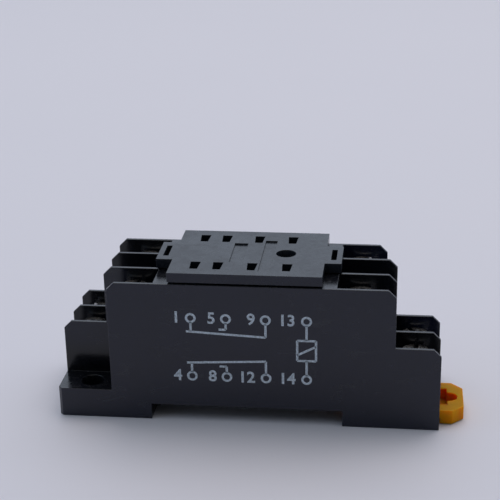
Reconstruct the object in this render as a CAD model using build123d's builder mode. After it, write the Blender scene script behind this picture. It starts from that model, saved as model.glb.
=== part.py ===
from build123d import *
import os

os.makedirs("parts", exist_ok=True)

# A front-connecting relay socket for eight pins. X runs along the length towards
# the release latch, Y across it, Z up from the mounting plane. All sizes in mm.

# Housing outline
length = 70.6
width = 22.5
wall = 0.7
foot_top = 5.7
lower_wall_top = 16.1
upper_wall_top = 27.3
lower_step = 8.2
notch_length = 10.2
block_length = 33.2
upper_bevel = 1.45
lower_bevel = 1.4
foot_bevel = 0.65
blank_floor = 17.0
blank_reach = 2.2

# Mounting holes, one in each foot at opposite corners
hole_spacing_x = 59.0
hole_spacing_y = 15.0
hole_r = 2.1

# Slot for a 35 mm rail and its fixed lip
rail_slot_width = 35.4
rail_slot_depth = 3.1
lip_reach = 1.4
lip_length = 12.0
flange_space = 1.2
lip_bevel = 0.8

# Terminal screws, M3, and their captive clamp washers
screw_sink = 1.85
head_r = 2.75
head_h = 2.0
head_dome = 0.55
shank_r = 1.45
shank_length = 8.0
shank_bevel = 0.3
drive_width = 0.8
drive_depth = 0.9
cross_length = 3.4
cross_depth = 1.25
washer_t = 0.8
washer_corner = 0.7
washer_fit = 0.08
upper_screw_inset = 4.0
lower_screw_inset = 3.5

# Stamped terminals
plate_t = 0.8
plate_length = 6.0
strip_width = 2.0
collar_r = 2.0
collar_h = 1.0
thread_fit = 0.05
clip_width = 3.0
clip_leaf = 0.4
clip_root = 0.75
clip_pinch = 0.45
clip_flare = 0.85
clip_straight = 0.75
clip_mouth = 0.8

# Pin pattern of the relay, two rows of four
row_y = 6.8
pin_nc = -9.45
pin_no = -5.3
pin_common = 0.95
pin_coil = 7.3
pin_slot_far = 1.85
pin_slot_near = 1.4
pin_slot_y = 3.35

# Relay seat, the top plate
seat_length = 27.9
seat_width = 21.7
seat_t = 2.1
shadow_gap = 0.3
shadow_inset = 0.6
plug_length = 25.0
plug_width = 19.0
plug_depth = 1.5
tab_reach = 3.05
tab_width = 8.6
clip_slot_x = 1.0
clip_slot_y = 5.0
clip_slot_inset = 1.55
locator_x = 6.6
locator_r = 1.85
locator_depth = 2.4
panel_depth = 0.3
short_panel = (2.5, 9.5, -2.2, -0.15)
long_panel = (2.2, 15.1, 3.35, -1.3)

# Rail latch
latch_width = 11.1
latch_y = -3.3
latch_reach = 4.55
latch_bevel = 2.1
latch_lift = 0.1
latch_travel = 3.0
nose_reach = 1.5
nose_width = 4.0
nose_bevel = 1.1
grip_width = 6.4
grip_wall = 3.0
grip_depth = 3.2
grip_floor = 0.4
tip_width = 3.3
tip_depth = 1.9
tip_round = 1.6
leg_width = 1.3
leg_slit = 0.7
leg_length = 9.0
barb_reach = 0.7
barb_length = 1.8
barb_inset = 0.4
rim_height = 1.0
rim_width = 0.8

# Clearances
bay_play = 0.15
washer_play = 0.2
strip_gap = 0.15
pocket_gap = 0.5
seat_fit = 0.15
web = 0.6
guide_gap = 0.15
slide_play = 0.2
well_gap = 0.3
tip_gap = 0.4

# Places along the length
end_x = length / 2
step_x = end_x - lower_step
notch_x = end_x - notch_length
block_x = block_length / 2
recess_x = block_x - blank_reach
upper_screw_x = block_x + upper_screw_inset
lower_screw_x = step_x + lower_screw_inset
slot_x = rail_slot_width / 2

# Walls and bays across the width
wall_pitch = (width - wall) / 3
bay_width = wall_pitch - wall

# Heights, counted down from the wall tops by the stack of one terminal
stack = screw_sink + head_h + washer_t + plate_t
upper_floor = upper_wall_top - stack
lower_floor = lower_wall_top - stack
seat_floor = upper_wall_top - plug_depth - seat_fit
seat_top = upper_wall_top + seat_t

# Contact chambers in the block
clip_half = clip_flare + clip_leaf / 2
pocket_x = 2 * (clip_half + pocket_gap)
pocket_y = clip_width + 2 * pocket_gap
lane_y = row_y - pocket_y / 2 - web - strip_width / 2
jog_x = recess_x - web - strip_width / 2
elbow_out = block_x - web
elbow_in = jog_x

# Rail latch sections
latch_top = rail_slot_depth - slide_play
flange_z = rim_height + guide_gap
latch_end = end_x + latch_reach
latch_root = slot_x + strip_gap
channel_width = latch_width + 2 * guide_gap

# The eight terminals: number, end, tier, bay across the width, pin column, pin row,
# and the angle in degrees at which the screw was left
terminals = (
    ("4", "left", "lower", "middle", pin_nc, "near", 20),
    ("1", "left", "lower", "far", pin_nc, "far", -35),
    ("8", "left", "upper", "near", pin_no, "near", 70),
    ("5", "left", "upper", "far", pin_no, "far", 10),
    ("12", "right", "upper", "near", pin_common, "near", -15),
    ("9", "right", "upper", "far", pin_common, "far", 48),
    ("14", "right", "lower", "near", pin_coil, "near", 82),
    ("13", "right", "lower", "middle", pin_coil, "far", -60),
)


def along(end, distance):
    """X of a place that lies the given distance from the middle towards an end."""
    return -distance if end == "left" else distance


def across(side, distance):
    """Y of a place that lies the given distance from the middle towards a side."""
    if side == "middle":
        return 0
    return -distance if side == "near" else distance


def screw_place(end, tier, bay):
    """X, Y and floor height of a terminal's screw."""
    if tier == "upper":
        return along(end, upper_screw_x), across(bay, wall_pitch), upper_floor
    return along(end, lower_screw_x), across(bay, wall_pitch), lower_floor


def strip_line(end, tier, bay, pin, row):
    """Centre line of a terminal's strip from its screw to its contact clip, seen from above."""
    x, y, _ = screw_place(end, tier, bay)
    pin_y = across(row, row_y)
    if tier == "upper":
        turn_x = along(end, jog_x)
        lane = across(row, lane_y)
        far_edge = across(row, row_y + clip_width / 2)
        return [(x, y), (turn_x, y), (turn_x, lane), (pin, lane), (pin, far_edge)]
    return [(x, y), (along(end, elbow_out), y), (along(end, elbow_in), pin_y), (pin, pin_y)]


def strip_sketch(points, line_width):
    """Flat outline of a strip of the given width along its centre line."""
    with BuildSketch() as flat:
        with BuildLine() as centre:
            Polyline(points)
        trace(centre.line, line_width=line_width)
    return flat.sketch


def upright_wall(y, notched_end):
    """One upright wall about the given Y, which stops short of the notch at one end."""
    left_end = -notch_x if notched_end == "left" else -step_x
    right_end = notch_x if notched_end == "right" else step_x
    low_left = left_end if notched_end == "left" else -end_x
    low_right = right_end if notched_end == "right" else end_x
    with BuildPart() as upright:
        with BuildSketch(Plane.XZ) as profile:
            with Locations((left_end, 0)):
                Rectangle(right_end - left_end, upper_wall_top, align=(Align.MIN, Align.MIN))
            chamfer(profile.vertices().group_by(Axis.Y)[-1], upper_bevel)
            with Locations((low_left, 0)):
                Rectangle(low_right - low_left, lower_wall_top, align=(Align.MIN, Align.MIN))
            low_tips = [
                corner
                for corner in profile.vertices()
                if abs(corner.Y - lower_wall_top) < wall / 4
                and abs(abs(corner.X) - end_x) < wall / 4
            ]
            chamfer(low_tips, lower_bevel)
        extrude(amount=wall / 2, both=True)
    return Pos(0, y, 0) * upright.part


# The four upright walls, from the near side to the far side
near_wall_y = (wall - width) / 2
uprights = [
    upright_wall(near_wall_y, "left"),
    upright_wall(near_wall_y + wall_pitch, "none"),
    upright_wall(-near_wall_y - wall_pitch, "none"),
    upright_wall(-near_wall_y, "right"),
]

# Housing: the core between the walls
with BuildPart() as housing:
    with BuildSketch(Plane.XZ) as core:
        Rectangle(2 * end_x, lower_floor, align=(Align.CENTER, Align.MIN))
        Rectangle(2 * step_x, upper_floor, align=(Align.CENTER, Align.MIN))
        Rectangle(block_length, upper_wall_top, align=(Align.CENTER, Align.MIN))
    extrude(amount=width / 2, both=True)

    # Mounting notches, open down to the foot at two opposite corners
    notch_size = (notch_length, wall_pitch)
    with BuildSketch(Plane.XY.offset(foot_top)):
        for side in (-1, 1):
            corner = (side * (end_x - notch_length / 2), side * (width - wall_pitch) / 2)
            with Locations(corner):
                Rectangle(*notch_size)
    extrude(amount=upper_wall_top, mode=Mode.SUBTRACT)

    # The walls stand on both sides of every bay
    for upright in uprights:
        add(upright)

    # Bevelled outer corners of the two mounting feet
    foot_edges = [
        edge
        for edge in housing.edges().filter_by(Axis.Z)
        if abs(abs(edge.center().X) - end_x) < wall / 4
        and abs(abs(edge.center().Y) - width / 2) < wall / 4
        and abs(edge.length - foot_top) < wall / 4
    ]
    chamfer(foot_edges, foot_bevel)

    # Blank middle bays, which reach in under the tabs of the relay seat
    with BuildSketch(Plane.XY.offset(blank_floor)):
        for side in (-1, 1):
            with Locations((side * (step_x + recess_x) / 2, 0)):
                Rectangle(step_x - recess_x, bay_width)
    extrude(amount=upper_wall_top, mode=Mode.SUBTRACT)

    # Recess for the plug of the relay seat, and the chambers of the contact clips
    with BuildSketch(Plane.XY.offset(seat_floor)):
        Rectangle(plug_length + 2 * seat_fit, plug_width + 2 * seat_fit)
    extrude(amount=seat_t + plug_depth, mode=Mode.SUBTRACT)
    with BuildSketch(Plane.XY.offset(upper_floor)):
        for _, _, _, _, pin, row, _ in terminals:
            with Locations((pin, across(row, row_y))):
                Rectangle(pocket_x, pocket_y)
    extrude(amount=stack, mode=Mode.SUBTRACT)
    with BuildSketch(Plane.XY.offset(seat_floor)):
        with Locations((locator_x, 0)):
            Circle(locator_r + seat_fit)
    extrude(amount=-locator_depth, mode=Mode.SUBTRACT)

    # Passages for the strips, and the shafts in which the lower strips rise
    for _, end, tier, bay, pin, row, _ in terminals:
        floor = upper_floor if tier == "upper" else lower_floor
        line = strip_line(end, tier, bay, pin, row)
        with BuildSketch(Plane.XY.offset(floor)):
            add(strip_sketch(line, strip_width + 2 * strip_gap))
        extrude(amount=plate_t + strip_gap, mode=Mode.SUBTRACT)
        if tier == "lower":
            with BuildSketch(Plane.XY.offset(floor)):
                with Locations((pin, across(row, row_y))):
                    Rectangle(plate_t + 2 * strip_gap, clip_width + 2 * strip_gap)
            extrude(amount=upper_floor - floor, mode=Mode.SUBTRACT)

    # Wells under the terminal plates for the collars and the screw shanks
    for _, end, tier, bay, _, _, _ in terminals:
        x, y, floor = screw_place(end, tier, bay)
        well = shank_length + tip_gap - plate_t - washer_t
        with BuildSketch(Plane.XY.offset(floor)):
            with Locations((x, y)):
                Circle(collar_r + well_gap)
        extrude(amount=-well, mode=Mode.SUBTRACT)

    # Mounting holes
    with BuildSketch():
        for side in (-1, 1):
            with Locations((side * hole_spacing_x / 2, side * hole_spacing_y / 2)):
                Circle(hole_r)
    extrude(amount=foot_top, mode=Mode.SUBTRACT)

    # Rail slot and the channel of the latch behind it
    with BuildSketch(Plane.XZ):
        Rectangle(rail_slot_width, rail_slot_depth, align=(Align.CENTER, Align.MIN))
    extrude(amount=width, both=True, mode=Mode.SUBTRACT)
    with BuildSketch():
        with Locations((slot_x, latch_y)):
            Rectangle(end_x - slot_x, channel_width, align=(Align.MIN, Align.CENTER))
        # Side notches in which the barbs run and stop
        with Locations((latch_root + barb_inset - guide_gap, latch_y)):
            Rectangle(
                barb_length + latch_travel + 2 * guide_gap,
                channel_width + 2 * barb_reach,
                align=(Align.MIN, Align.CENTER),
            )
    extrude(amount=rail_slot_depth, mode=Mode.SUBTRACT)

    # Rims that carry the flanges of the latch
    rim_start = latch_root + barb_inset + barb_length + latch_travel + guide_gap
    with BuildSketch():
        for side in (-1, 1):
            rim_y = latch_y + side * (channel_width - rim_width) / 2
            with Locations((rim_start, rim_y)):
                Rectangle(end_x - rim_start, rim_width, align=(Align.MIN, Align.CENTER))
    extrude(amount=rim_height)

    # Fixed lip that hooks under the rail's edge
    with BuildSketch(Plane.XZ) as lip:
        lip_top = rail_slot_depth - flange_space
        with Locations((-slot_x, 0)):
            Rectangle(lip_reach, lip_top, align=(Align.MIN, Align.MIN))
        chamfer(lip.vertices().sort_by(Axis.Y)[:2].sort_by(Axis.X)[-1], lip_bevel)
    extrude(amount=lip_length / 2, both=True)

housing.part.label = "housing"
export_step(housing.part, "parts/housing.step")


# Relay seat: the slab with a slotted tab at each end, and its locating plug
with BuildPart() as relay_seat:
    with BuildSketch(Plane.XY.offset(upper_wall_top + shadow_gap)):
        Rectangle(seat_length, seat_width)
        Rectangle(seat_length + 2 * tab_reach, tab_width)
    extrude(amount=seat_t - shadow_gap)
    with BuildSketch(Plane.XY.offset(upper_wall_top)):
        Rectangle(seat_length - 2 * shadow_inset, seat_width - 2 * shadow_inset)
    extrude(amount=shadow_gap)
    with BuildSketch(Plane.XY.offset(upper_wall_top)):
        Rectangle(plug_length, plug_width)
    extrude(amount=-plug_depth)

    # Slots for the hold-down clip, one in each tab
    with BuildSketch(Plane.XY.offset(seat_top)):
        with GridLocations(seat_length + 2 * clip_slot_inset, 1, 2, 1):
            Rectangle(clip_slot_x, clip_slot_y)
    extrude(amount=-seat_t, mode=Mode.SUBTRACT)

    # Slots for the relay's pins, narrower towards the near side, and the round hole
    pin_slot = [
        (-pin_slot_far / 2, pin_slot_y / 2),
        (-pin_slot_near / 2, -pin_slot_y / 2),
        (pin_slot_near / 2, -pin_slot_y / 2),
        (pin_slot_far / 2, pin_slot_y / 2),
    ]
    with BuildSketch(Plane.XY.offset(seat_top)):
        for _, _, _, _, pin, row, _ in terminals:
            with Locations((pin, across(row, row_y))):
                Polygon(pin_slot)
        with Locations((locator_x, 0)):
            Circle(locator_r)
    extrude(amount=-(seat_t + plug_depth), mode=Mode.SUBTRACT)

    # Two shallow panels beside the pin slots
    with BuildSketch(Plane.XY.offset(seat_top)):
        for size_x, size_y, centre_x, centre_y in (short_panel, long_panel):
            with Locations((centre_x, centre_y)):
                Rectangle(size_x, size_y)
    extrude(amount=-panel_depth, mode=Mode.SUBTRACT)

relay_seat.part.label = "relay_seat"
export_step(relay_seat.part, "parts/relay_seat.step")


# Rail latch: the slider in the housing's channel, with its head outside the end
with BuildPart() as rail_latch:
    with BuildSketch(Plane.XY.offset(latch_lift)) as outline:
        with Locations((latch_root, latch_y)):
            Rectangle(latch_end - latch_root, latch_width, align=(Align.MIN, Align.CENTER))
        chamfer(outline.vertices().group_by(Axis.X)[-1], latch_bevel)
    extrude(amount=latch_top - latch_lift)

    # Grooves over the rims of the channel
    groove = rim_width + guide_gap
    with BuildSketch(Plane.XY.offset(latch_lift)):
        for side in (-1, 1):
            with Locations((latch_root, latch_y + side * (latch_width - groove) / 2)):
                Rectangle(
                    end_x + guide_gap - latch_root, groove, align=(Align.MIN, Align.CENTER)
                )
    extrude(amount=flange_z - latch_lift, mode=Mode.SUBTRACT)

    # Slits that free the two retaining legs
    with BuildSketch(Plane.XY.offset(latch_lift)):
        for side in (-1, 1):
            slit_y = latch_y + side * (latch_width / 2 - leg_width - leg_slit / 2)
            with Locations((latch_root, slit_y)):
                Rectangle(leg_length, leg_slit, align=(Align.MIN, Align.CENTER))
    extrude(amount=latch_top, mode=Mode.SUBTRACT)

    # Barbs on the legs, square towards the head and sloped towards the rail
    with BuildSketch(Plane.XY.offset(flange_z)):
        barb_x = latch_root + barb_inset
        for side in (-1, 1):
            edge_y = latch_y + side * latch_width / 2
            with BuildLine():
                Polyline(
                    (barb_x, edge_y),
                    (barb_x + barb_length, edge_y),
                    (barb_x + barb_length, edge_y + side * barb_reach),
                    close=True,
                )
            make_face()
    extrude(amount=latch_top - flange_z)

    # Nose that reaches under the rail, ramped so that the rail pushes it back
    with BuildSketch(Plane.XZ.offset(-latch_y)) as nose:
        nose_top = rail_slot_depth - flange_space
        with Locations((slot_x - nose_reach, latch_lift)):
            Rectangle(
                nose_reach + leg_slit, nose_top - latch_lift, align=(Align.MIN, Align.MIN)
            )
        chamfer(nose.vertices().sort_by(Axis.Y)[:2].sort_by(Axis.X)[0], nose_bevel)
    extrude(amount=nose_width / 2, both=True)

    # Screwdriver pocket: a wide slot that narrows to a rounded tip, over a thin floor
    with BuildSketch(Plane.XY.offset(latch_lift + grip_floor)) as grip:
        grip_x = latch_end - grip_wall
        with Locations((grip_x + tip_depth, latch_y)):
            Rectangle(tip_depth + grip_depth / 2, tip_width, align=(Align.MAX, Align.CENTER))
        fillet(grip.vertices().group_by(Axis.X)[-1], tip_round)
        with Locations((grip_x, latch_y)):
            Rectangle(grip_depth, grip_width, align=(Align.MAX, Align.CENTER))
    extrude(amount=latch_top, mode=Mode.SUBTRACT)

rail_latch.part.label = "rail_latch"
export_step(rail_latch.part, "parts/rail_latch.step")


# Contact clip: two leaves that pinch a pin, on a flat base
with BuildPart() as clip:
    with BuildSketch(Plane.XZ):
        leaf_base = upper_floor + plate_t - clip_leaf / 2
        pinch_z = seat_floor - seat_fit - clip_mouth - clip_leaf / 2
        with BuildLine() as leaf:
            Polyline(
                (clip_root, leaf_base),
                (clip_root, leaf_base + clip_straight),
                (clip_pinch, pinch_z),
                (clip_flare, pinch_z + clip_mouth),
            )
        trace(leaf.line, line_width=clip_leaf)
        mirror(about=Plane.YZ)
        with Locations((0, upper_floor)):
            Rectangle(2 * clip_root + clip_leaf, plate_t, align=(Align.CENTER, Align.MIN))
    extrude(amount=clip_width / 2, both=True)

# Terminals: plate, strip, riser where there is one, and the contact clip
for number, end, tier, bay, pin, row, _ in terminals:
    x, y, floor = screw_place(end, tier, bay)
    with BuildPart() as terminal:
        with BuildSketch(Plane.XY.offset(floor)):
            with Locations((x, y)):
                Rectangle(plate_length, bay_width - 2 * bay_play)
            add(strip_sketch(strip_line(end, tier, bay, pin, row), strip_width))
        extrude(amount=plate_t)
        with BuildSketch(Plane.XY.offset(floor)):
            with Locations((x, y)):
                Circle(collar_r)
        extrude(amount=-collar_h)
        if tier == "lower":
            with BuildSketch(Plane.XY.offset(floor)):
                with Locations((pin, across(row, row_y))):
                    Rectangle(plate_t, clip_width)
            extrude(amount=upper_floor - floor)
        with Locations((pin, across(row, row_y), 0)):
            add(clip.part)
        # Tapped hole for the screw, drawn at the size of its thread
        with BuildSketch(Plane.XY.offset(floor - collar_h)):
            with Locations((x, y)):
                Circle(shank_r + thread_fit)
        extrude(amount=collar_h + plate_t, mode=Mode.SUBTRACT)
    terminal.part.label = f"terminal_{number}"
    export_step(terminal.part, f"parts/terminal_{number}.step")


# Terminal screw with its head's seat at the origin
with BuildPart() as screw:
    with BuildSketch():
        Circle(head_r)
    extrude(amount=head_h)
    fillet(screw.edges().group_by(Axis.Z)[-1], head_dome)
    with BuildSketch():
        Circle(shank_r)
    extrude(amount=-shank_length)
    chamfer(screw.edges().group_by(Axis.Z)[0], shank_bevel)
    with BuildSketch(Plane.XY.offset(head_h)):
        Rectangle(2 * head_r, drive_width)
    extrude(amount=-drive_depth, mode=Mode.SUBTRACT)
    with BuildSketch(Plane.XY.offset(head_h)):
        Rectangle(drive_width, cross_length)
        Rectangle(cross_length, drive_width)
    extrude(amount=-cross_depth, mode=Mode.SUBTRACT)

# Captive clamp washer, standing on the origin
with BuildPart() as washer:
    with BuildSketch() as square:
        side_length = bay_width - 2 * washer_play
        Rectangle(side_length, side_length)
        fillet(square.vertices(), washer_corner)
        Circle(shank_r + washer_fit, mode=Mode.SUBTRACT)
    extrude(amount=washer_t)

for number, end, tier, bay, _, _, angle in terminals:
    x, y, floor = screw_place(end, tier, bay)
    plate_z = floor + plate_t
    fitted_washer = Pos(x, y, plate_z) * washer.part
    fitted_washer.label = f"washer_{number}"
    export_step(fitted_washer, f"parts/washer_{number}.step")
    fitted_screw = Pos(x, y, plate_z + washer_t) * Rot(0, 0, angle) * screw.part
    fitted_screw.label = f"screw_{number}"
    export_step(fitted_screw, f"parts/screw_{number}.step")
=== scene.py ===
import bpy
import bmesh
from math import cos, pi, radians, sin
from mathutils import Matrix, Vector


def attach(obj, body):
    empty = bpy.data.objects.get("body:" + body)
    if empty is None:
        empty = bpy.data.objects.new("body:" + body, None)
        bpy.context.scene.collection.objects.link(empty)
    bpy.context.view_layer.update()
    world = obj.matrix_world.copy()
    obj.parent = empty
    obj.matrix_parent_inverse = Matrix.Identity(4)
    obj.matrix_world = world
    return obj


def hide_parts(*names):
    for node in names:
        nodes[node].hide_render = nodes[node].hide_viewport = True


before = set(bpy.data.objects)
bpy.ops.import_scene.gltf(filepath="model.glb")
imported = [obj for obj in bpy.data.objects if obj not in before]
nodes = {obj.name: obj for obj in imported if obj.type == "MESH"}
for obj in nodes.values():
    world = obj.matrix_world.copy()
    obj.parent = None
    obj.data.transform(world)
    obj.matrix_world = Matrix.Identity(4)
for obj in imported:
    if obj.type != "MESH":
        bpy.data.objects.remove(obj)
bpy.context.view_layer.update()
MM = 0.001

# Places taken from the part, in millimetres
UPPER_X, LOWER_X = 20.6, 30.6
BAY_PITCH = 21.8 / 3
UPPER_FLOOR, LOWER_FLOOR = 21.85, 10.65
PLATE_T, WASHER_T = 0.8, 0.8
NEAR_FACE_Y = -11.25
LATCH_Y = -3.3
# Each terminal: number, end, tier, bay, and the angle its screw was left at
TERMINALS = (
    (4, -1, "lower", 0, 20),
    (1, -1, "lower", 1, -35),
    (8, -1, "upper", -1, 70),
    (5, -1, "upper", 1, 10),
    (12, 1, "upper", -1, -15),
    (9, 1, "upper", 1, 48),
    (14, 1, "lower", -1, 82),
    (13, 1, "lower", 0, -60),
)


# Materials

class Nodes:
    """The node tree of a material or a world, with short calls for the nodes used here."""

    def __init__(self, owner, coordinates):
        owner.use_nodes = True
        self.tree = owner.node_tree
        self.place = self.add("ShaderNodeTexCoord").outputs[coordinates]

    def add(self, kind):
        return self.tree.nodes.new(kind)

    def put(self, value, socket):
        """Sets a socket from a number, a colour or another node's output."""
        if isinstance(value, bpy.types.NodeSocket):
            self.tree.links.new(value, socket)
        else:
            socket.default_value = value

    def axes(self):
        """The three coordinates of a place."""
        split = self.add("ShaderNodeSeparateXYZ")
        self.put(self.place, split.inputs[0])
        return split.outputs["X"], split.outputs["Y"], split.outputs["Z"]

    def ramp(self, value, low, high, to_low=0.0, to_high=1.0, interpolation="LINEAR"):
        """Maps a value from the span low..high to the span to_low..to_high, clamped."""
        node = self.add("ShaderNodeMapRange")
        node.interpolation_type = interpolation
        node.inputs["From Min"].default_value = low
        node.inputs["From Max"].default_value = high
        node.inputs["To Min"].default_value = to_low
        node.inputs["To Max"].default_value = to_high
        self.put(value, node.inputs["Value"])
        return node.outputs["Result"]

    def mix(self, factor, a, b, kind="RGBA"):
        """Mixes two colours, or two numbers where the kind is FLOAT."""
        node = self.add("ShaderNodeMix")
        node.data_type = kind
        self.put(factor, node.inputs["Factor"])
        self.put(a, node.inputs["A"])
        self.put(b, node.inputs["B"])
        return node.outputs["Result"]


# Spans over which masks fade in: how far up a face looks, and how far an edge turns its normal
LOOKS_UP, EDGE_TURN = (0.6, 0.95), (0.98, 0.75)


class MaterialNodes(Nodes):
    """The node tree of a new material, with its patterns and masks."""

    def __init__(self, name):
        self.material = bpy.data.materials.new(name)
        super().__init__(self.material, "Object")
        self.shader = self.tree.nodes["Principled BSDF"]

    def noise(self, scale, detail=2.0, rough=0.5, distortion=0.0, stretch=None):
        """A noise pattern, at a scale for each axis where a stretch is given."""
        node = self.add("ShaderNodeTexNoise")
        node.inputs["Scale"].default_value = scale
        node.inputs["Detail"].default_value = detail
        node.inputs["Roughness"].default_value = rough
        node.inputs["Distortion"].default_value = distortion
        place = self.place
        if stretch is not None:
            mapping = self.add("ShaderNodeMapping")
            mapping.inputs["Scale"].default_value = stretch
            self.put(place, mapping.inputs["Vector"])
            place = mapping.outputs["Vector"]
        self.put(place, node.inputs["Vector"])
        return node.outputs["Fac"]

    def math(self, operation, a, b=0.0):
        node = self.add("ShaderNodeMath")
        node.operation = operation
        self.put(a, node.inputs[0])
        self.put(b, node.inputs[1])
        return node.outputs[0]

    def times(self, product, *factors):
        """The product of masks or numbers."""
        for factor in factors:
            product = self.math("MULTIPLY", product, factor)
        return product

    def plus(self, total, *terms):
        """The sum of masks or numbers."""
        for term in terms:
            total = self.math("ADD", total, term)
        return total

    def upward(self):
        """One on faces that look up, zero on the others."""
        geometry = self.add("ShaderNodeNewGeometry")
        split = self.add("ShaderNodeSeparateXYZ")
        self.put(geometry.outputs["True Normal"], split.inputs[0])
        return self.ramp(split.outputs["Z"], *LOOKS_UP)

    def edges(self, radius):
        """One along worn edges and corners, zero on open faces."""
        bevel = self.add("ShaderNodeBevel")
        bevel.samples = 4
        bevel.inputs["Radius"].default_value = radius
        geometry = self.add("ShaderNodeNewGeometry")
        dot = self.add("ShaderNodeVectorMath")
        dot.operation = "DOT_PRODUCT"
        self.put(bevel.outputs["Normal"], dot.inputs[0])
        self.put(geometry.outputs["True Normal"], dot.inputs[1])
        return self.ramp(dot.outputs["Value"], *EDGE_TURN)

    def bump(self, *layers):
        """Stacks bump layers, each a height output, a strength and a depth in metres."""
        normal = None
        for height, strength, depth in layers:
            node = self.add("ShaderNodeBump")
            node.inputs["Strength"].default_value = strength
            node.inputs["Distance"].default_value = depth
            self.put(height, node.inputs["Height"])
            if normal is not None:
                self.put(normal, node.inputs["Normal"])
            normal = node.outputs["Normal"]
        self.put(normal, self.shader.inputs["Normal"])

    def set(self, **values):
        """Sets sockets of the shader by name, with underscores for spaces."""
        for name, value in values.items():
            self.put(value, self.shader.inputs[name.replace("_", " ")])


def rgb(r, g, b):
    return (r, g, b, 1.0)


# The first colour is painted cool light on the outer walls; the second is faint scuffs
PAINTED_COOL_LIGHT, SCUFF = rgb(0.0054, 0.0080, 0.0232), rgb(0.028, 0.034, 0.040)
# The second colour lightens edges: partly rubbed wear, partly a painted highlight
DUST, RUBBED_AND_SHEEN = rgb(0.20, 0.20, 0.21), rgb(0.16, 0.17, 0.18)
# The painted cool light fades in over these spans: away from the middle toward the outer walls, and
# in x times y and in z at the walls that stand over the mounting feet, whose lower parts are left
# dark as painted shade
SKIN_Y = 10.6 * MM, 10.9 * MM
CORNER_XY = 88 * MM * MM, 98 * MM * MM
CORNER_Z = 9.5 * MM, 12.5 * MM


def dark_plastic(name, deep, light, rough, ior, dust_level, seed):
    """Dark moulded plastic: grain, flow marks, painted cool light on the outer faces, dust, and
    rubbed edges that are partly wear and partly a painted highlight.
    """
    n = MaterialNodes(name)
    shift = (1.0 + seed * 0.013, 1.0 - seed * 0.009, 1.0 + seed * 0.021)
    cloud = n.noise(190, detail=4, rough=0.55, distortion=0.4, stretch=shift)
    grain = n.noise(14000, detail=2, rough=0.6)
    mottle = n.noise(2600, detail=3, rough=0.6)
    flow = n.noise(85, detail=3, rough=0.5, distortion=1.2, stretch=(1.0, 0.45, 1.7))
    smudge = n.noise(130, detail=5, rough=0.6, distortion=1.5)
    base = n.mix(n.ramp(cloud, 0.35, 0.7), rgb(*deep), rgb(*light))
    speckle = rgb(*[v * 1.6 + 0.002 for v in light])
    base = n.mix(n.ramp(mottle, 0.58, 0.8, 0.0, 0.45), base, speckle)
    # The outer walls, and those over the mounting feet, get a painted cool light on faces that
    # don't look up, and faint scuffs
    up = n.upward()
    x, y, z = n.axes()
    skin = n.ramp(n.math("ABSOLUTE", y), *SKIN_Y)
    corner = n.times(n.ramp(n.times(x, y), *CORNER_XY), n.ramp(z, *CORNER_Z))
    outer = n.times(n.math("MAXIMUM", skin, corner), n.math("SUBTRACT", 1.0, up))
    base = n.mix(n.times(outer, n.ramp(cloud, 0.2, 0.8, 0.7, 1.0)), base, PAINTED_COOL_LIGHT)
    scuff = n.noise(260, detail=6, rough=0.68, distortion=1.2, stretch=(0.7, 1.0, 1.4))
    base = n.mix(n.times(outer, n.ramp(scuff, 0.58, 0.72, 0.0, 0.5)), base, SCUFF)
    # Dust lies on upward faces, and edges are lighter: partly rubbed wear, partly a painted
    # highlight along them
    specks = n.ramp(n.noise(5200, detail=1, rough=0.4), 0.66, 0.74)
    film = n.ramp(n.noise(1100, detail=4, rough=0.6, distortion=0.6), 0.42, 0.75)
    dust = n.times(up, n.plus(n.times(specks, 0.5), film))
    base = n.mix(n.times(dust, dust_level), base, DUST)
    rubbed = n.times(
        n.edges(0.22 * MM), n.ramp(n.noise(900, detail=3, rough=0.6), 0.35, 0.7), 0.6
    )
    base = n.mix(rubbed, base, RUBBED_AND_SHEEN)
    roughness = n.plus(
        n.ramp(smudge, 0.3, 0.75, rough - 0.05, rough + 0.09),
        n.ramp(grain, 0.3, 0.7, -0.03, 0.03),
        n.times(dust, 0.12),
    )
    n.set(Base_Color=base, Roughness=roughness, IOR=ior)
    n.bump((flow, 0.25, 0.03 * MM), (mottle, 0.18, 0.006 * MM), (grain, 0.32, 0.0025 * MM))
    return n.material


# Painted light: the sides and the top of the latch get separate tones for how each is lit
LATCH_SIDE_PAINTED_LIGHT_LOW, LATCH_SIDE_PAINTED_LIGHT_HIGH = rgb(0.66, 0.235, 0.0030), rgb(0.67, 0.345, 0.0110)
LATCH_TOP_PAINTED_LIGHT_DEEP, LATCH_TOP_PAINTED_LIGHT_PALE = rgb(0.39, 0.200, 0.0006), rgb(0.45, 0.235, 0.0012)
# Painted shade and reddened light inside the driver slot
LATCH_SLOT_PAINTED_SHADE = rgb(0.63, 0.150, 0.0115)
# The second colour lightens edges: partly rubbed wear, partly a painted highlight
LATCH_DIRT, LATCH_RUBBED_AND_SHEEN = rgb(0.27, 0.13, 0.012), rgb(0.68, 0.48, 0.20)
# The side's painted light turns redder toward the bottom over this height, and the painted shade
# inside the driver slot fades in over the others
SIDE_Z = 0.4 * MM, 2.6 * MM
SLOT_ACROSS, SLOT_X, SLOT_Z = (4.6 * MM, 3.8 * MM), (39.5 * MM, 39.1 * MM), (2.85 * MM, 2.5 * MM)


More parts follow.
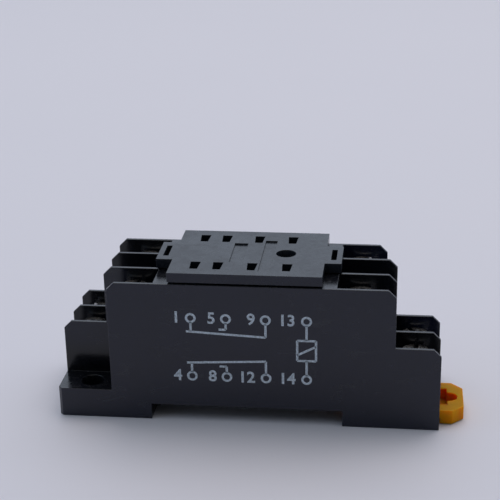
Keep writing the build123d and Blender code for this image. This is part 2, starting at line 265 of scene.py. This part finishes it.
def latch_plastic():
    """Yellow acetal: slightly translucent, with moulding flow, rubbed dirt and soft scratches; top
    and sides carry painted light in separate tones, the driver slot a painted red shade, and the
    edges a painted highlight.
    """
    n = MaterialNodes("latch_yellow")
    cloud = n.noise(260, detail=4, rough=0.55, distortion=0.7)
    x, y, z = n.axes()
    # The sides and the top carry painted light, the sides redder toward the bottom
    side = n.mix(n.ramp(z, *SIDE_Z), LATCH_SIDE_PAINTED_LIGHT_LOW, LATCH_SIDE_PAINTED_LIGHT_HIGH)
    top = n.mix(n.ramp(cloud, 0.3, 0.72), LATCH_TOP_PAINTED_LIGHT_DEEP, LATCH_TOP_PAINTED_LIGHT_PALE)
    base = n.mix(n.upward(), side, top)
    # The walls round the driver slot are thin; inside it a darker, redder colour is painted as the
    # shade and reddened light there
    across = n.math("ABSOLUTE", n.math("SUBTRACT", y, LATCH_Y * MM))
    inside = n.times(n.ramp(across, *SLOT_ACROSS), n.ramp(x, *SLOT_X), n.ramp(z, *SLOT_Z))
    base = n.mix(inside, base, LATCH_SLOT_PAINTED_SHADE)
    dirt = n.ramp(n.noise(700, detail=5, rough=0.62, distortion=0.8), 0.56, 0.78)
    base = n.mix(n.times(dirt, 0.4), base, LATCH_DIRT)
    # Edges are lighter: partly rubbed wear, partly a painted highlight
    rubbed = n.times(n.edges(0.3 * MM), n.ramp(n.noise(1300), 0.35, 0.7), 0.6)
    base = n.mix(rubbed, base, LATCH_RUBBED_AND_SHEEN)
    scratches = n.noise(900, detail=3, rough=0.7, distortion=0.2, stretch=(0.12, 4.0, 1.0))
    roughness = n.ramp(n.noise(340, detail=4, rough=0.6), 0.3, 0.75, 0.34, 0.52)
    n.set(Base_Color=base, Roughness=roughness, IOR=1.48, Specular_IOR_Level=0.04)
    n.set(Subsurface_Weight=1.0, Subsurface_Scale=3.2 * MM, Subsurface_Radius=(1.0, 0.25, 0.03))
    n.bump((cloud, 0.3, 0.03 * MM), (scratches, 0.25, 0.008 * MM), (n.noise(9000), 0.3, 0.003 * MM))
    return n.material


def plated_metal(name, tint, dark, rough, lines, seed):
    """Plated metal with stamping or turning lines, dull patches and rubbed edges."""
    n = MaterialNodes(name)
    shift = (1.0 + seed * 0.017, 1.0, 1.0 - seed * 0.011)
    patch = n.noise(650, detail=4, rough=0.6, distortion=0.9, stretch=shift)
    base = n.mix(n.ramp(patch, 0.35, 0.75), rgb(*tint), rgb(*dark))
    streak = n.noise(1600, detail=3, rough=0.65, distortion=0.1, stretch=lines)
    base = n.mix(n.ramp(streak, 0.5, 0.75, 0.0, 0.35), base, rgb(*dark))
    rubbed = n.times(n.edges(0.18 * MM), n.ramp(n.noise(2100), 0.3, 0.7), 0.6)
    base = n.mix(rubbed, base, rgb(*[v * 1.25 for v in tint]))
    roughness = n.plus(
        n.ramp(patch, 0.3, 0.75, rough - 0.07, rough + 0.13),
        n.ramp(streak, 0.3, 0.7, -0.04, 0.06),
    )
    n.set(Base_Color=base, Roughness=roughness, Metallic=1.0)
    n.bump((patch, 0.2, 0.01 * MM), (streak, 0.35, 0.006 * MM), (n.noise(12000), 0.25, 0.002 * MM))
    return n.material


INK_THIN, INK_FULL = rgb(0.38, 0.45, 0.50), rgb(0.66, 0.76, 0.86)
PAPER_DARK, PAPER_LIGHT = rgb(0.680, 0.684, 0.750), rgb(0.696, 0.699, 0.764)


def print_ink():
    """Pad-printed ink: pale grey blue, thin in places and a little broken up."""
    n = MaterialNodes("print_ink")
    wear = n.ramp(n.noise(3800, detail=4, rough=0.7), 0.40, 0.62)
    base = n.mix(wear, INK_THIN, INK_FULL)
    roughness = n.ramp(n.noise(1500, detail=3), 0.3, 0.7, 0.42, 0.6)
    n.set(Base_Color=base, Roughness=roughness, IOR=1.48)
    n.bump((n.noise(6000), 0.25, 0.003 * MM))
    return n.material


def floor_paper():
    """Plain pale sheet under the object, with a faint tooth."""
    n = MaterialNodes("floor_paper")
    base = n.mix(n.noise(9, detail=3), PAPER_DARK, PAPER_LIGHT)
    n.set(Base_Color=base, Roughness=0.62, IOR=1.4)
    n.bump((n.noise(900, detail=3, rough=0.6), 0.05, 0.04 * MM))
    return n.material


housing_plastic = dark_plastic(
    "housing_plastic", deep=(0.0034, 0.0042, 0.0068), light=(0.0050, 0.0060, 0.0094),
    rough=0.17, ior=1.49, dust_level=0.03, seed=0,
)
seat_plastic = dark_plastic(
    "seat_plastic", deep=(0.0078, 0.0115, 0.0175), light=(0.0098, 0.0140, 0.0210),
    rough=0.25, ior=1.47, dust_level=0.02, seed=7,
)
latch_yellow = latch_plastic()
terminal_metal = plated_metal(
    "terminal_metal", tint=(0.42, 0.40, 0.34), dark=(0.25, 0.23, 0.18),
    rough=0.22, lines=(0.2, 3.0, 3.0), seed=1,
)
washer_metal = plated_metal(
    "washer_metal", tint=(0.36, 0.36, 0.36), dark=(0.21, 0.21, 0.20),
    rough=0.22, lines=(3.0, 0.25, 3.0), seed=5,
)
screw_metal = plated_metal(
    "screw_metal", tint=(0.40, 0.40, 0.40), dark=(0.24, 0.24, 0.23),
    rough=0.22, lines=(1.0, 1.0, 5.0), seed=9,
)


# Moulded and stamped pieces keep the part's shape and get softened edges

WELD_GAP = 0.001 * MM
FLAT_ANGLE, EDGE_ANGLE, SMOOTH_ANGLE = radians(0.4), radians(32), radians(35)


def soften(name, material, radius):
    """Rounds the sharp edges of a CAD piece with modifiers, and gives it its material."""
    piece = nodes[name]
    weld = piece.modifiers.new("join_corners", "WELD")
    weld.merge_threshold = WELD_GAP
    planar = piece.modifiers.new("flat_faces", "DECIMATE")
    planar.decimate_type = "DISSOLVE"
    planar.angle_limit = FLAT_ANGLE
    bevel = piece.modifiers.new("soft_edges", "BEVEL")
    bevel.width = radius
    bevel.segments = 2
    bevel.limit_method = "ANGLE"
    bevel.angle_limit = EDGE_ANGLE
    bevel.use_clamp_overlap = True
    bevel.harden_normals = True
    piece.data.materials.clear()
    piece.data.materials.append(material)


soften("housing", housing_plastic, 0.10 * MM)
soften("relay_seat", seat_plastic, 0.10 * MM)
soften("rail_latch", latch_yellow, 0.15 * MM)
for number, *_ in TERMINALS:
    soften(f"terminal_{number}", terminal_metal, 0.02 * MM)
    soften(f"washer_{number}", washer_metal, 0.08 * MM)


# Terminal screws with real threads and a combined slot and cross, in millimetres

HEAD_R, HEAD_H, HEAD_DOME, HEAD_BREAK = 2.75, 2.0, 0.55, 0.12
HEAD_AROUND, DOME_STEPS = 48, 6
# Bars cut from the head: length, width, depth, share of the width at the bottom, turn in degrees
RECESS = (
    (2.3 * HEAD_R, 0.8, 0.85, 0.95, 0),
    (3.4, 0.95, 1.25, 0.5, 0),
    (3.4, 0.95, 1.25, 0.5, 90),
)
CUT_OVER, LENGTH_SHARE = 0.5, 0.6
THREAD_MAJOR, THREAD_MINOR, THREAD_PITCH = 1.49, 1.24, 0.5
FLANK_GAIN, ROOT_FLAT = 2.6, 0.6
SHANK, SHANK_SUNK, PLAIN_NECK = 8.0, 0.25, 0.7
TIP_H, TIP_TAPER = 0.6, 0.35
SHANK_AROUND, ROWS_PER_PITCH = 24, 6


def ring_points(radius_at, height, around):
    """Points about Z at one height, from the radius at each angle, all in millimetres."""
    points = []
    for i in range(around):
        angle = 2 * pi * i / around
        radius = radius_at(angle)
        points.append((radius * MM * cos(angle), radius * MM * sin(angle), height * MM))
    return points


def skin(bm, rings):
    """Joins rings of points, one after another, into a closed surface with flat ends."""
    loops = [[bm.verts.new(point) for point in ring] for ring in rings]
    for low, high in zip(loops, loops[1:]):
        for i in range(len(low)):
            j = (i + 1) % len(low)
            bm.faces.new((low[i], low[j], high[j], high[i]))
    bm.faces.new(loops[0])
    bm.faces.new(loops[-1])


def tapered_bar(bm, length, width, depth, share):
    """A cutter that stands over the head and narrows downward, lying along X."""
    rings = []
    for height, k in ((HEAD_H - depth, share), (HEAD_H + CUT_OVER, 1.0)):
        half_l, half_w = length / 2 * (1 - (1 - k) * LENGTH_SHARE), width / 2 * k
        corners = ((-half_l, -half_w), (half_l, -half_w), (half_l, half_w), (-half_l, half_w))
        rings.append([(x * MM, y * MM, height * MM) for x, y in corners])
    skin(bm, rings)


def mesh_object(name, bm):
    """Links a bmesh as an object, shaded smooth but for its sharp edges."""
    bmesh.ops.recalc_face_normals(bm, faces=bm.faces)
    mesh = bpy.data.meshes.new(name)
    for edge in bm.edges:
        if len(edge.link_faces) == 2 and edge.calc_face_angle(0) > SMOOTH_ANGLE:
            edge.smooth = False
    for face in bm.faces:
        face.smooth = True
    bm.to_mesh(mesh)
    bm.free()
    return linked(name, mesh)


def linked(name, data):
    """A new object that is in the scene."""
    piece = bpy.data.objects.new(name, data)
    bpy.context.scene.collection.objects.link(piece)
    return piece


def evaluated_mesh(piece):
    """A new mesh of an object as its modifiers or its text leave it."""
    bpy.context.view_layer.update()
    graph = bpy.context.evaluated_depsgraph_get()
    return bpy.data.meshes.new_from_object(piece.evaluated_get(graph))


def cut(piece, cutters):
    """Cuts other closed pieces out of one and applies the result to its mesh."""
    for cutter in cutters:
        boolean = piece.modifiers.new("cut", "BOOLEAN")
        boolean.operation = "DIFFERENCE"
        boolean.solver = "EXACT"
        boolean.object = cutter
    mesh = evaluated_mesh(piece)
    piece.modifiers.clear()
    piece.data = mesh
    for cutter in cutters:
        bpy.data.objects.remove(cutter)


def screw_head():
    """Pan head with its recess."""
    dome = [
        (HEAD_R - HEAD_DOME + HEAD_DOME * cos(a), HEAD_H - HEAD_DOME + HEAD_DOME * sin(a))
        for a in (pi / 2 * i / DOME_STEPS for i in range(DOME_STEPS + 1))
    ]
    profile = [(HEAD_R - HEAD_BREAK, 0), (HEAD_R, HEAD_BREAK), *dome]
    bm = bmesh.new()
    skin(bm, [ring_points(lambda _: radius, height, HEAD_AROUND) for radius, height in profile])
    head = mesh_object("head", bm)
    cutters = []
    for *shape, turn in RECESS:
        bm = bmesh.new()
        tapered_bar(bm, *shape)
        bmesh.ops.rotate(bm, verts=bm.verts, matrix=Matrix.Rotation(radians(turn), 3, "Z"))
        cutters.append(mesh_object("cutter", bm))
    cut(head, cutters)
    return head


def shank_radius(height, angle):
    """Radius of the shank: its flank rises and falls once a pitch and turns with the angle."""
    phase = (height / THREAD_PITCH - angle / (2 * pi)) % 1.0
    crest = max(0.0, min(1.0, FLANK_GAIN * (1 - abs(2 * phase - 1)) - ROOT_FLAT))
    if height > -PLAIN_NECK:
        crest = 0.0
    tip = 1.0 - min(1.0, (SHANK + height) / TIP_H)
    return THREAD_MINOR + (THREAD_MAJOR - THREAD_MINOR) * crest - tip * TIP_TAPER


def screw_mesh():
    """One screw: the cut head and a threaded shank, with the head's seat at the origin."""
    head = screw_head()
    bm = bmesh.new()
    bm.from_mesh(head.data)
    bpy.data.objects.remove(head)
    # The shank's plain end stands inside the head, so both are closed
    reach = SHANK + SHANK_SUNK
    rows = round(reach / THREAD_PITCH * ROWS_PER_PITCH)
    rings = []
    for row in range(rows + 1):
        height = SHANK_SUNK - reach * row / rows
        rings.append(ring_points(lambda a: shank_radius(height, a), height, SHANK_AROUND))
    skin(bm, rings)
    screw = mesh_object("screw_master", bm)
    mesh = screw.data
    bpy.data.objects.remove(screw)
    mesh.materials.clear()
    mesh.materials.append(screw_metal)
    return mesh


master_screw = screw_mesh()
for number, end, tier, bay, angle in TERMINALS:
    x = end * (UPPER_X if tier == "upper" else LOWER_X)
    z = (UPPER_FLOOR if tier == "upper" else LOWER_FLOOR) + PLATE_T + WASHER_T
    screw = linked(f"threaded_screw_{number}", master_screw)
    screw.location = (x * MM, bay * BAY_PITCH * MM, z * MM)
    screw.rotation_euler = (0, 0, radians(angle))
    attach(screw, f"driver_{number}")
    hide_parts(f"screw_{number}")


# Printed wiring diagram on the near wall: plain terminal numbers, contacts and coil

LINE_W, BOLD = 0.42, 0.07
INK_T, INK_SUNK = 0.012, 0.002
INK_Y = NEAR_FACE_Y - INK_T
RING_AROUND = 28


def ink_strip(bm, x0, z0, x1, z1):
    """A printed line from one point to another, drawn in X and Z."""
    start, end = Vector((x0, z0)), Vector((x1, z1))
    along = (end - start).normalized()
    across = Vector((-along.y, along.x)) * LINE_W / 2
    outline = (start + across, end + across, end - across, start - across)
    bm.faces.new([bm.verts.new((p.x * MM, INK_Y * MM, p.y * MM)) for p in outline])


def ink_ring(bm, x, z, radius):
    """A printed circle."""
    rings = []
    for r in (radius - LINE_W / 2, radius + LINE_W / 2):
        rings.append([
            bm.verts.new(((x + r * cos(a)) * MM, INK_Y * MM, (z + r * sin(a)) * MM))
            for a in (2 * pi * i / RING_AROUND for i in range(RING_AROUND))
        ])
    for i in range(RING_AROUND):
        j = (i + 1) % RING_AROUND
        bm.faces.new((rings[0][i], rings[0][j], rings[1][j], rings[1][i]))


def ink_number(bm, text, x, z, size):
    """A printed number centred on a point."""
    font = bpy.data.curves.new("number", "FONT")
    font.body = text
    font.size = size * MM
    font.offset = BOLD * MM
    font.align_x = "CENTER"
    font.align_y = "CENTER"
    font.resolution_u = 3
    carrier = linked("number", font)
    carrier.rotation_euler = (radians(90), 0, 0)
    carrier.location = (x * MM, INK_Y * MM, z * MM)
    drawn = evaluated_mesh(carrier)
    drawn.transform(carrier.matrix_world)
    bm.from_mesh(drawn)
    bpy.data.objects.remove(carrier)
    bpy.data.meshes.remove(drawn)


def wiring_diagram():
    """Two changeover contacts and a coil, laid out as the pins lie in the relay seat."""
    bm = bmesh.new()
    closed_x, open_x, common_x, coil_x = -9.8, -3.4, 3.8, 11.2
    top_z, low_z, mid_z = 20.9, 9.3, 15.1
    dot_r = 0.78
    digit, digit_half, label_gap = 3.1, 0.92, 1.7
    arm_drop, arm_lift, arm_past = 3.4, 0.75, 0.9
    stub, stub_foot = 2.1, 1.3
    coil_half_x, coil_half_z, coil_slant = 1.7, 2.0, 0.9
    rows = ((top_z, 1, ("1", "5", "9", "13")), (low_z, -1, ("4", "8", "12", "14")))
    for z, side, labels in rows:
        for x, label in zip((closed_x, open_x, common_x, coil_x), labels):
            ink_ring(bm, x, z, dot_r)
            ink_number(bm, label, x - label_gap - digit_half * len(label), z, digit)
        # The common blade rests against the closed contact
        ring_z, arm_z, stub_z = z - side * dot_r, z - side * arm_drop, z - side * stub
        lifted_z = arm_z + side * arm_lift
        ink_strip(bm, common_x, ring_z, common_x, arm_z)
        ink_strip(bm, common_x, arm_z, closed_x - arm_past, lifted_z)
        ink_strip(bm, closed_x, ring_z, closed_x, lifted_z)
        ink_strip(bm, open_x, ring_z, open_x, stub_z)
        ink_strip(bm, open_x, stub_z, open_x - stub_foot, stub_z)
        ink_strip(bm, coil_x, ring_z, coil_x, mid_z + side * coil_half_z)
    left, right = coil_x - coil_half_x, coil_x + coil_half_x
    below, above = mid_z - coil_half_z, mid_z + coil_half_z
    corners = [(left, below), (right, below), (right, above), (left, above)]
    for start, end in zip(corners, corners[1:] + corners[:1]):
        ink_strip(bm, *start, *end)
    ink_strip(bm, left, mid_z - coil_slant, right, mid_z + coil_slant)
    # The ink's back lies just inside the wall
    grown = bmesh.ops.extrude_face_region(bm, geom=bm.faces[:])
    backs = [item for item in grown["geom"] if isinstance(item, bmesh.types.BMVert)]
    bmesh.ops.translate(bm, verts=backs, vec=(0, (INK_T + INK_SUNK) * MM, 0))
    return mesh_object("wiring_diagram", bm)


diagram = wiring_diagram()
diagram.data.materials.clear()
diagram.data.materials.append(print_ink())
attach(diagram, "socket")


# Floor, light and camera

FLOOR_REACH, FLOOR_GAP = 4.0, 0.02 * MM


def floor():
    """A wide sheet just under the object."""
    bm = bmesh.new()
    bmesh.ops.create_grid(bm, x_segments=4, y_segments=4, size=FLOOR_REACH)
    ground = mesh_object("floor", bm)
    ground.location = (0, 0, -FLOOR_GAP)
    ground.data.materials.append(floor_paper())


def area_light(name, place, target, size, power, colour):
    """A soft rectangular lamp at a place, turned to its target."""
    lamp = bpy.data.lights.new(name, "AREA")
    lamp.shape = "RECTANGLE"
    lamp.size, lamp.size_y = size
    lamp.energy = power
    lamp.color = colour
    holder = linked(name, lamp)
    holder.location = place
    aim = Vector(target) - Vector(place)
    holder.rotation_euler = aim.to_track_quat("-Z", "Y").to_euler()


BACKDROP_LEVEL, ROOM_LEVEL, CEILING_LEVEL, HORIZON_LEVEL = 1.30, 0.07, 0.61, 0.45
BACKDROP_COLOUR, CEILING_COLOUR = rgb(0.75, 0.84, 1.0), rgb(0.92, 0.96, 1.0)
# Where the light changes from the room in front to the backdrop, and from the horizon upward
WALL_BEHIND, HORIZON_BEHIND, TINT_BEHIND = (-0.75, 0.85), (-0.1, 0.8), (-0.4, 0.8)
WALL_UP, CEILING_UP = (0.16, 0.42), (0.6, 0.85)


def studio_world():
    """A pale cool backdrop behind the object, a soft ceiling, and a dark room in front."""
    world = bpy.data.worlds.new("studio")
    n = Nodes(world, "Generated")
    _, behind, height = n.axes()

    def fade(value, span, to_low=0.0, to_high=1.0):
        return n.ramp(value, *span, to_low, to_high, "SMOOTHSTEP")

    backdrop = fade(behind, WALL_BEHIND, ROOM_LEVEL, BACKDROP_LEVEL)
    horizon = fade(behind, HORIZON_BEHIND, ROOM_LEVEL, HORIZON_LEVEL)
    walls = n.mix(fade(height, WALL_UP), horizon, backdrop, "FLOAT")
    strength = n.mix(fade(height, CEILING_UP), walls, CEILING_LEVEL, "FLOAT")
    colour = n.mix(fade(behind, TINT_BEHIND), CEILING_COLOUR, BACKDROP_COLOUR)
    sky = n.tree.nodes["Background"]
    n.put(strength, sky.inputs["Strength"])
    n.put(colour, sky.inputs["Color"])
    bpy.context.scene.world = world


# The place in metres, the turn in degrees, and the lens that fit the photograph's outline
CAMERA_PLACE, CAMERA_TURN = (0.02732, -0.223416, 0.118695), (68.473, 0.981, 6.611)
LENS, SENSOR = 94.31, 36.0
CLIP_NEAR, CLIP_FAR = 0.01, 20.0


def photo_camera():
    """The camera at the photograph's place and angle."""
    data = bpy.data.cameras.new("photo_camera")
    data.lens = LENS
    data.sensor_width = SENSOR
    data.sensor_fit = "HORIZONTAL"
    data.clip_start = CLIP_NEAR
    data.clip_end = CLIP_FAR
    camera = linked("photo_camera", data)
    camera.location = CAMERA_PLACE
    camera.rotation_euler = [radians(a) for a in CAMERA_TURN]
    bpy.context.scene.camera = camera


floor()
studio_world()
area_light(
    "softbox_over", place=(0.12, 0.35, 0.95), target=(0, 0.02, 0), size=(0.9, 0.7),
    power=3.7, colour=(1.0, 0.86, 0.77),
)
area_light(
    "softbox_left", place=(-0.9, -0.35, 0.6), target=(0, 0, 0.01), size=(0.6, 0.6),
    power=0.8, colour=(0.35, 0.60, 1.0),
)
photo_camera()
bpy.context.scene.view_settings.view_transform = "Standard"
